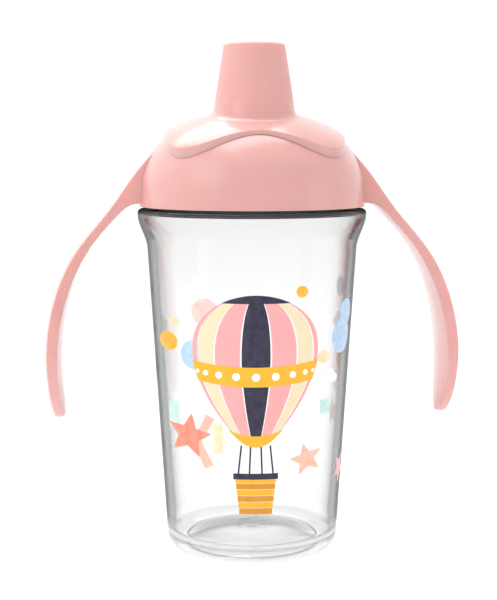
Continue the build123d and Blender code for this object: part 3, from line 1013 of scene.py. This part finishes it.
@dataclass
class SkyPrint:
    """Dots, stars, clouds and paper blocks printed beside the balloon."""

    beaker: Beaker

    def sheet(self, name: str, flat_art: bool = False) -> InkSheet:
        """Starts the sheet of one kind of shape."""
        return InkSheet(name, self.beaker, flat_art=flat_art)

    def dots(self) -> InkSheet:
        """Round dots and watercolour circles at the front."""
        sheet = self.sheet("printed_dots", flat_art=True)
        sheet.disc((15.4, 86.3), 1.8, Tone.HONEY)
        sheet.disc((-26.2, 69.8), 3.0, Tone.HONEY)
        sheet.disc((-24.3, 76.3), 1.6, Tone.CREAM)
        sheet.disc((-17.6, 66.4), 4.6, Tone.SKY)
        sheet.disc((-14.4, 80.0), 4.2, Tone.BLUSH)
        sheet.disc((22.4, 65.2), 2.1, Tone.LEMON)
        return sheet

    def side_dots(self) -> InkSheet:
        """Round dots and watercolour circles at the sides."""
        sheet = self.sheet("printed_side_dots")
        sheet.disc((30.6, 71.0), 5.6, Tone.SKY)
        sheet.disc((-54.0, 58.0), 4.2, Tone.SKY)
        sheet.disc((-56.0, 84.0), 2.0, Tone.HONEY)
        sheet.disc((53.0, 60.0), 2.4, Tone.HONEY)
        sheet.disc((56.0, 84.0), 3.4, Tone.SKY)
        sheet.disc((32.6, 78.4), 4.2, Tone.SKY, layer=1)
        return sheet

    def stars(self) -> InkSheet:
        """Watercolour stars at the front."""
        sheet = self.sheet("printed_stars", flat_art=True)
        sheet.star((-19.8, 40.4), 7.4, 8.0, Tone.CORAL, 1)
        sheet.star((17.0, 33.2), 5.4, -12.0, Tone.PEACH)
        return sheet

    def side_stars(self) -> InkSheet:
        """Watercolour stars at the sides."""
        sheet = self.sheet("printed_side_stars")
        sheet.star((-56.0, 32.0), 4.2, 20.0, Tone.ROSE)
        sheet.star((36.5, 27.0), 5.4, 30.0, Tone.ROSE)
        sheet.star((56.0, 42.0), 5.2, 16.0, Tone.CORAL)
        return sheet

    def blocks(self) -> InkSheet:
        """Torn paper blocks in pale colours behind the stars."""
        sheet = self.sheet("printed_blocks", flat_art=True)
        for start, end, width, tone in (
            ((-24.6, 42.0), (-24.6, 50.4), 3.2, Tone.MINT),
            ((-18.0, 40.2), (-13.2, 31.0), 3.0, Tone.PEACH),
            ((-12.9, 47.2), (-15.6, 41.6), 2.8, Tone.PEACH),
            ((-10.4, 35.6), (-10.4, 45.0), 2.8, Tone.LEMON),
            ((23.0, 47.0), (23.0, 51.6), 3.2, Tone.MINT),
        ):
            sheet.strip(start, end, width, tone, Wash.WATERCOLOUR)
        return sheet

    def clouds(self) -> InkSheet:
        """Small white clouds, each of three puffs."""
        sheet = self.sheet("printed_clouds")
        puffs = ((-0.75, 0.0, 0.55), (0.0, 0.3, 0.8), (0.8, 0.0, 0.5))
        clouds = ((-22.0, 85.5, 2.8), (25.0, 58.0, 3.0), (56.0, 72.0, 3.4), (-58.0, 71.0, 3.6))
        for across, height, size in clouds:
            for layer, (x, y, radius) in enumerate(puffs):
                spot = (across + x * size, height + y * size)
                sheet.disc(spot, radius * size, Tone.WHITE, Wash.FLAT, layer)
        return sheet

    def build(self) -> list[bpy.types.Object]:
        """Makes one piece for each kind of shape."""
        kinds = (self.blocks, self.dots, self.side_dots, self.stars, self.side_stars, self.clouds)
        return [kind().build() for kind in kinds]


# ---------------- the room


@dataclass
class Studio:
    """Pale floor, soft lights and the camera."""

    distance: float = 455.0
    eye_z: float = 131.5
    yaw_deg: float = 5.1
    pitch_deg: float = 6.4
    focal_px: float = 1402.0
    frame_px: float = 497.0
    side_px: float = 3.4
    sensor: float = 36.0
    front_level: float = 0.66
    back_level: float = 1.1
    depth_range: Pair = (-0.2, 0.75)
    floor_reach: float = 6.0
    floor_glow: float = 0.86
    side_lean: float = 0.1
    aim_m: Triple = (0.0, 0.0, 0.09)

    def camera(self) -> None:
        """Places the camera a little to the left of the front."""
        lens = bpy.data.cameras.new("camera")
        lens.sensor_fit = "HORIZONTAL"
        lens.sensor_width = self.sensor
        lens.lens = self.focal_px / self.frame_px * self.sensor
        lens.shift_x = -self.side_px / self.frame_px
        lens.clip_start = 0.01
        lens.clip_end = 50.0
        eye = bpy.data.objects.new("camera", lens)
        yaw = math.radians(self.yaw_deg)
        x, y = -self.distance * math.sin(yaw), -self.distance * math.cos(yaw)
        eye.location = (x * MM, y * MM, self.eye_z * MM)
        eye.rotation_euler = (math.radians(90 - self.pitch_deg), 0.0, -yaw)
        bpy.context.scene.collection.objects.link(eye)
        bpy.context.scene.camera = eye

    def softbox(self, name: str, spot: Triple, size: Pair, watts: float) -> None:
        """Adds a rectangular light that faces the cup; its place and size are in metres."""
        lamp = bpy.data.lights.new(name, "AREA")
        lamp.shape = "RECTANGLE"
        lamp.size, lamp.size_y = size
        lamp.energy = watts
        holder = bpy.data.objects.new(name, lamp)
        holder.location = spot
        aim = np.array(self.aim_m) - np.array(spot)
        aim /= np.linalg.norm(aim)
        pitch = math.acos(float(-aim[2]))
        turn = math.atan2(float(aim[1]), float(aim[0])) - math.pi / 2
        holder.rotation_euler = (pitch, 0.0, turn)
        bpy.context.scene.collection.objects.link(holder)

    def floor(self) -> None:
        """Lays the pale floor."""
        mesh = bpy.data.meshes.new("floor")
        edge = self.floor_reach
        corners = [(-edge, -edge, 0.0), (edge, -edge, 0.0), (edge, edge, 0.0), (-edge, edge, 0.0)]
        mesh.from_pydata(corners, [], [(0, 1, 2, 3)])
        graph = ShaderGraph("floor_paper")
        grain = graph.mottle(400.0, (0.0, 1.0))
        graph.feed(graph.blend(grain, (0.22,) * 3, (0.24,) * 3), "Base Color")
        graph.fix(Roughness=0.9, Specular_IOR_Level=0.0)
        graph.fix(Emission_Color=(1.0, 1.0, 1.0), Emission_Strength=self.floor_glow)
        mesh.materials.append(graph.material)
        slab = bpy.data.objects.new("floor", mesh)
        bpy.context.scene.collection.objects.link(slab)

    def room(self) -> bpy.types.World:
        """Makes a white room that is dimmer on the right and in front.

        The brightness follows the Y part of the direction from the front level
        to the back level. The side lean tips it with the X part.
        """
        world = bpy.data.worlds.new("room")
        world.use_nodes = True
        graph = NodeGraph(world.node_tree)
        parts = graph.parts(graph.node("TexCoord").outputs["Generated"])
        depth = graph.spread(parts["Y"], self.depth_range, (self.front_level, self.back_level))
        side = graph.spread(parts["X"], (-1.0, 1.0), (self.side_lean, -self.side_lean))
        background = graph.tree.nodes["Background"].inputs
        graph.join(graph.maths("ADD", depth, side, clamp=False), background["Strength"])
        background["Color"].default_value = (1.0, 1.0, 1.0, 1.0)
        return world

    def light(self) -> None:
        """Sets the room and the soft lights."""
        bpy.context.scene.world = self.room()
        self.softbox("key", (-0.6, -0.45, 0.45), (0.5, 0.5), 0.8)
        self.softbox("ceiling", (-0.14, 0.27, 1.0), (0.9, 1.0), 10.5)
        self.softbox("right_low", (0.75, -0.35, 0.12), (0.4, 0.5), 0.35)

    def build(self) -> None:
        """Sets up the whole room."""
        self.floor()
        self.light()
        self.camera()
        bpy.context.scene.view_settings.view_transform = "Standard"


# ---------------- assembly


def dress(node: bpy.types.Object, material: bpy.types.Material) -> None:
    """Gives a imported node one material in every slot."""
    for number in range(len(node.material_slots)):
        node.material_slots[number].material = material


def main(frame: dict) -> None:
    """Builds every piece and sets up the room.
    """
    logging.basicConfig(level=logging.INFO, format="%(name)s: %(message)s")
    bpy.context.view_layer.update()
    nodes = frame["nodes"]
    pink = MouldedPlastic().build()
    silicone = Silicone().build()
    dressed = dict.fromkeys(("lid_shell", "spout_hood"), pink)
    dressed |= dict.fromkeys(("lid_gasket", "spout_valve", "vent_valve"), silicone)
    for name, material in dressed.items():
        dress(nodes[name], material)
        LOG.info("dressed %s", name)

    beaker = Beaker()
    cup = beaker.build()
    cup.data.materials.append(ClearPlastic().build())
    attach(cup, "cup")
    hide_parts("cup_body")
    LOG.info("built %s", cup.name)

    for side, node in ((-1, "handle_left"), (1, "handle_right")):
        arm = Handle(side).build()
        arm.data.materials.append(pink)
        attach(arm, "lid")
        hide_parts(node)
        LOG.info("built %s", arm.name)

    for piece in BalloonPrint(beaker, across=-1.5).build() + SkyPrint(beaker).build():
        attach(piece, "cup")
        LOG.info("printed %s", piece.name)

    Studio().build()


if __name__ == "__main__":
    main(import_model())
